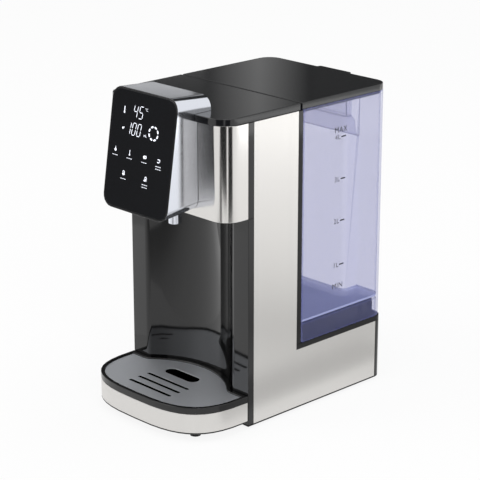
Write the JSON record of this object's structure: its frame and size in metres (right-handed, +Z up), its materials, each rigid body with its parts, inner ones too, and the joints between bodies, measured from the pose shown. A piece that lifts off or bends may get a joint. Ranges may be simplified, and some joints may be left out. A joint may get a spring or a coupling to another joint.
{
  "type": "instant hot water dispenser",
  "caption": "Countertop instant hot water dispenser with a tilted touch head, nozzle over a cup recess, lift-off drip tray and a clear lift-out rear water tank.",
  "frame": {"origin": "middle of the footprint, on the surface it stands on", "axes": "+Z up, the touch head and drip tray face -Y, +X is the user's right when seen from the front"},
  "size_m": [0.183, 0.2964, 0.3596],
  "materials": {
    "matte_black": "fine-grained black ABS",
    "gloss_black": "polished black ABS",
    "brushed_steel": "brushed stainless steel sheet",
    "chrome": "polished chrome plating",
    "dark_glass": "black-backed touch glass",
    "clear_lilac": "clear lilac-tinted copolyester",
    "rubber": "black rubber",
    "silicone": "translucent food-grade silicone",
    "ivory_plastic": "moulded ivory plastic",
    "inner_steel": "plain steel",
    "board": "green circuit board with its parts"
  },
  "bodies": {
    "housing": {"base_pan": "matte_black", "head_carrier": "matte_black", "head_arm_left": "matte_black", "head_arm_right": "matte_black", "head_rear_cap": "matte_black", "front_cover": "matte_black", "partition_wall": "matte_black", "tank_deck": "matte_black", "rear_base_panel": "matte_black", "nozzle_holder": "matte_black", "meter_cap": "matte_black", "thermal_cutout": "matte_black", "front_column": "gloss_black", "upper_housing": "gloss_black", "side_panel_left": "brushed_steel", "side_panel_right": "brushed_steel", "front_panel": "brushed_steel", "head_sleeve": "chrome", "nozzle": "chrome", "touch_glass": "dark_glass", "foot_front_left": "rubber", "foot_front_right": "rubber", "foot_rear_left": "rubber", "foot_rear_right": "rubber", "mains_gland": "rubber", "pump_cradle": "rubber", "inlet_seal": "silicone", "nozzle_insert": "silicone", "hose_tank_to_pump": "silicone", "hose_pump_to_meter": "silicone", "hose_meter_to_heater": "silicone", "hose_heater_to_nozzle": "silicone", "inlet_socket": "ivory_plastic", "pump_body": "ivory_plastic", "pump_cover": "ivory_plastic", "meter_body": "ivory_plastic", "heater_cap_lower": "ivory_plastic", "heater_cap_upper": "ivory_plastic", "pump_motor": "inner_steel", "heater_tube": "inner_steel", "heater_bracket": "inner_steel", "temperature_sensor": "inner_steel", "display_board": "board", "power_board": "board", "control_board": "board"},
    "tank": {"water_tank": "clear_lilac", "valve_body": "ivory_plastic", "filter_cap": "ivory_plastic", "valve_spring": "inner_steel"},
    "tank_valve": {"valve_plunger": "ivory_plastic", "valve_seal": "silicone"},
    "lid": {"tank_lid": "matte_black"},
    "tray": {"drip_tray": "gloss_black", "tray_band": "brushed_steel", "tray_foot_left": "rubber", "tray_foot_right": "rubber"},
    "plate": {"drip_plate": "brushed_steel"},
    "impeller": {"pump_impeller": "ivory_plastic"},
    "paddle": {"meter_wheel": "matte_black"}
  },
  "joints": [
    {"name": "tank_lift", "type": "slide", "parent": "housing", "child": "tank", "axis": [0, 0, 1], "range_m": [0, 0.08]},
    {"name": "lid_lift", "type": "slide", "parent": "tank", "child": "lid", "axis": [0, 0, 1], "range_m": [0, 0.04]},
    {"name": "valve_press", "type": "slide", "parent": "tank", "child": "tank_valve", "axis": [0, 0, 1], "range_m": [0, 0.004], "stiffness_N_per_m": 200, "springref_m": -0.003, "deforming": ["valve_spring"]},
    {"name": "tray_slide", "type": "slide", "parent": "housing", "child": "tray", "axis": [0, -1, 0], "range_m": [0, 0.12]},
    {"name": "plate_lift", "type": "slide", "parent": "tray", "child": "plate", "axis": [0, 0, 1], "range_m": [0, 0.04]},
    {"name": "impeller_spin", "type": "hinge", "parent": "housing", "child": "impeller", "pos_m": [-0.038, 0.03625, 0.026], "axis": [0, 1, 0], "continuous": true},
    {"name": "meter_wheel_spin", "type": "hinge", "parent": "housing", "child": "paddle", "pos_m": [-0.05, -0.00275, 0.122], "axis": [0, 1, 0], "continuous": true}
  ]
}
